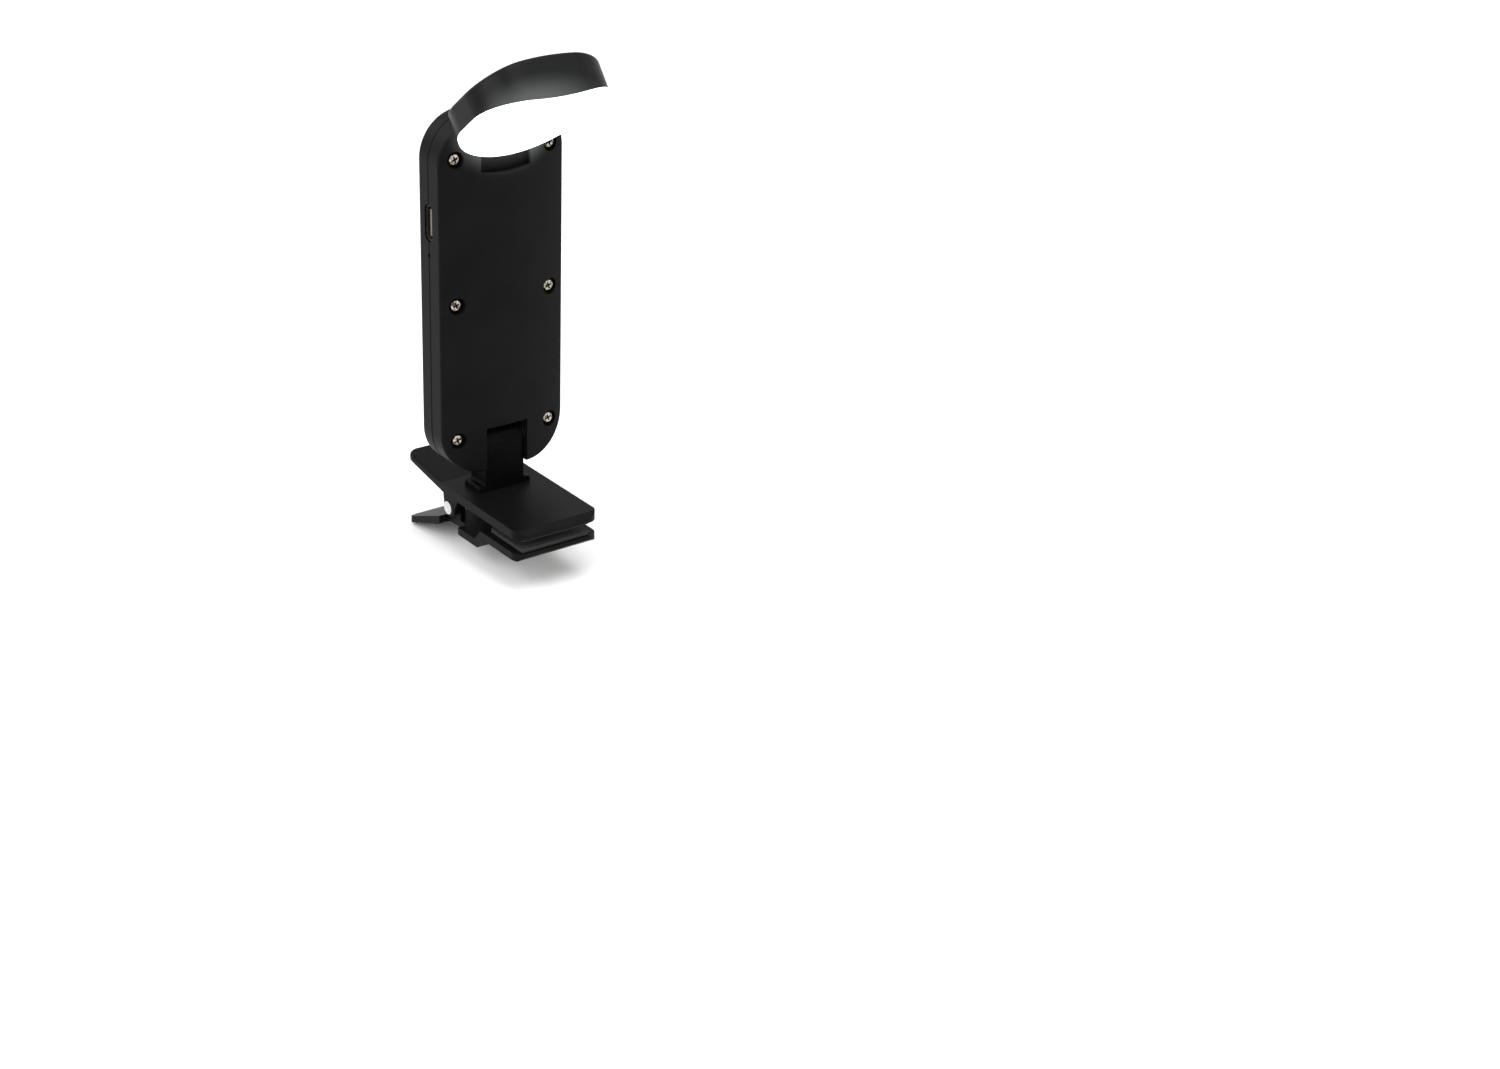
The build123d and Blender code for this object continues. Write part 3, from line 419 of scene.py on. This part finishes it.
def makeClipSpring(sizes):
    pivotY, pivotZ = sizes["pivot"]
    legLong = sizes["legLong"] * mm
    steps = round(sizes["turns"] * sizes["stepsPerTurn"])
    angle = sizes["turns"] * 2 * math.pi
    run = sizes["pitch"] * sizes["turns"]
    start = math.radians(sizes["startTurn"])
    quarter = math.radians(90)
    bm = bmesh.new()
    ring = bmesh.ops.create_circle(bm, segments=sizes["sides"], radius=sizes["wireR"] * mm)
    stand = (Matrix.Translation((-run / 2 * mm, pivotY * mm, pivotZ * mm))
             @ Matrix.Rotation(start, 4, "X")
             @ Matrix.Translation((0, 0, sizes["coilR"] * mm))
             @ Matrix.Rotation(quarter, 4, "X"))
    bmesh.ops.transform(bm, matrix=stand, verts=ring["verts"])
    firstEdges = list(bm.edges)
    addLeg(bm, firstEdges, start, legLong)
    coil = bmesh.ops.spin(bm, geom=firstEdges, cent=(0, pivotY * mm, pivotZ * mm),
                          axis=(1, 0, 0), dvec=(run / steps * mm, 0, 0), angle=angle,
                          steps=steps)
    lastEdges = [part for part in coil["geom_last"] if isinstance(part, bmesh.types.BMEdge)]
    addLeg(bm, lastEdges, start + angle, -legLong)
    bmesh.ops.holes_fill(bm, edges=[edge for edge in bm.edges if edge.is_boundary], sides=0)
    bmesh.ops.recalc_face_normals(bm, faces=bm.faces)
    mesh = meshFrom(bm, "clipSpring")
    mesh.polygons.foreach_set("use_smooth", [True] * len(mesh.polygons))
    spring = addObject("clipSpring", mesh)
    mesh.materials.append(finishes["springWire"])
    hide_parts("jaw_spring")
    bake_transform(spring)


makeClipSpring(springSizes)
print("clip spring made")


# floor and backdrop, soft studio light

floorLook = {
    "half": 3.0, "below": 0.05,
    "colour": (0.94, 0.94, 0.94), "rough": 0.9, "specular": 0.1,
    "middle": (0, 0, 0), "turn": 0, "reach": (2000, 2000, 2000),
    "fadeStart": 0.8, "fadeEnd": 0.4, "fill": 0.5,
}
worldLook = {"seen": 1.0, "light": 0.55}
lampPlan = {
    "leftBox": {"at": (-0.75, -0.15, 0.55), "size": 0.7, "power": 7.0, "colour": white},
    "topBox": {"at": (0.1, -0.3, 1.1), "size": 0.9, "power": 9.0, "colour": white},
    "backBox": {"at": (-0.4, 0.8, 0.65), "size": 0.6, "power": 2.5, "colour": white},
    "rightBox": {"at": (0.8, -0.5, 0.4), "size": 0.6, "power": 2.5, "colour": (1, 0.97, 0.93)},
}
lampTarget = Vector((0, 0.015, 0.055))


def makeFloor(look):
    bm = bmesh.new()
    bmesh.ops.create_grid(bm, x_segments=1, y_segments=1, size=look["half"])
    low = cadBox[0][2] - look["below"] * mm
    bmesh.ops.translate(bm, vec=(0, 0, low), verts=bm.verts)
    mesh = meshFrom(bm, "studioFloor")
    floor = addObject("studioFloor", mesh)
    material, tree, shader = smoothFinish("paleFloor", look)
    # the fill keeps the floor pale where the lamps no longer reach
    fade = rangeNode(tree, gradientFrom(tree, look), look["fadeStart"], look["fadeEnd"],
                     0.0, look["fill"])
    setColour(shader, "Emission Color", white)
    fill = mathNode(tree, "MULTIPLY", fade.outputs["Result"], seenAsBackground(tree))
    tree.links.new(fill, shader.inputs["Emission Strength"])
    mesh.materials.append(material)


def makeWorld(look):
    # brighter as a backdrop than as a light
    world = bpy.data.worlds.new("studioWorld")
    scene.world = world
    world.use_nodes = True
    tree = world.node_tree
    background = tree.nodes["Background"]
    setColour(background, "Color", white)
    strength = spreadValue(tree, seenAsBackground(tree), look["light"], look["seen"])
    tree.links.new(strength, background.inputs["Strength"])


def makeLamp(name, plan):
    light = bpy.data.lights.new(name, "AREA")
    light.shape = "RECTANGLE"
    light.size = light.size_y = plan["size"]
    light.energy = plan["power"]
    light.color = plan["colour"]
    lamp = addObject(name, light)
    lamp.location = plan["at"]
    aim = lampTarget - Vector(plan["at"])
    lamp.rotation_euler = aim.to_track_quat("-Z", "Y").to_euler()


makeFloor(floorLook)
makeWorld(worldLook)
for name, plan in lampPlan.items():
    makeLamp(name, plan)
print("studio lit")


# camera, fitted to the body in the photograph with an assumed focal length

cameraPlan = {
    "at": (-332.9, -503.8, 291.3), "azimuth": -38.405, "elevation": 25.928, "roll": 2.306,
    "lens": 64.8, "sensor": 36, "clipStart": 0.01,
}


def makeCamera(plan):
    azimuth, elevation, roll = (
        math.radians(plan[key]) for key in ("azimuth", "elevation", "roll"))
    forward = Vector((-math.sin(azimuth) * math.cos(elevation),
                      math.cos(azimuth) * math.cos(elevation),
                      -math.sin(elevation)))
    level = Vector((math.cos(azimuth), math.sin(azimuth), 0))
    upright = level.cross(forward)
    right = math.cos(roll) * level + math.sin(roll) * upright
    up = -math.sin(roll) * level + math.cos(roll) * upright
    data = bpy.data.cameras.new("photoCamera")
    data.lens = plan["lens"]
    data.sensor_width = plan["sensor"]
    data.clip_start = plan["clipStart"]
    camera = addObject("photoCamera", data)
    turn = Matrix((right, up, -forward)).transposed().to_4x4()
    camera.matrix_world = Matrix.Translation(Vector(plan["at"]) * mm) @ turn
    scene.camera = camera


makeCamera(cameraPlan)

print("done")
